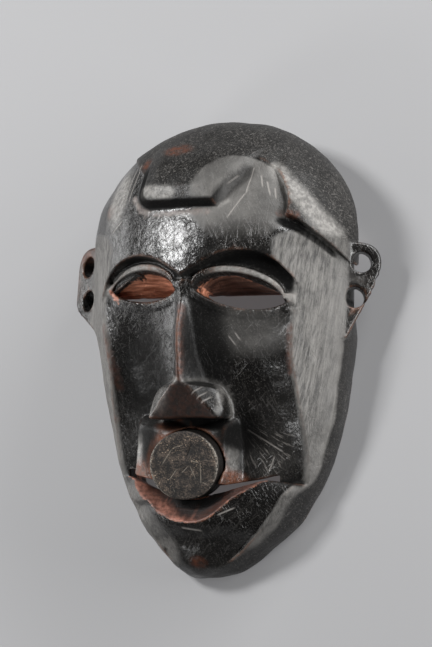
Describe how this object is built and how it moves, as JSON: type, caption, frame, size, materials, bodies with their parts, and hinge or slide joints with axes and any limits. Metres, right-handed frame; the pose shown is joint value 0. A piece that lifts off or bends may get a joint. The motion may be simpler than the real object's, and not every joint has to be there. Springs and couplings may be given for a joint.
{
  "type": "carved wooden mask",
  "caption": "Carved wooden face mask, hollow behind, with slit eyes, a wedge nose, a disc-shaped lip plug, an open mouth slit and pierced ear tabs for ties.",
  "frame": {"origin": "centre of the bounding box in X and Y, on the plane of the mask's rim in Z: the mask lies face up on its rim", "axes": "+Z out of the face, +Y towards the crown, -Y towards the chin, +X towards the viewer's right when the face is seen from the front with the crown up"},
  "size_m": [0.2108, 0.2866, 0.09],
  "materials": {
    "patinated_wood": "old dark patina, satin to polished, worn to reddish wood on edges",
    "end_grain_wood": "matte grey-brown end grain"
  },
  "bodies": {
    "root": {"mask": "patinated_wood", "lip_plug": "end_grain_wood"}
  },
  "joints": []
}
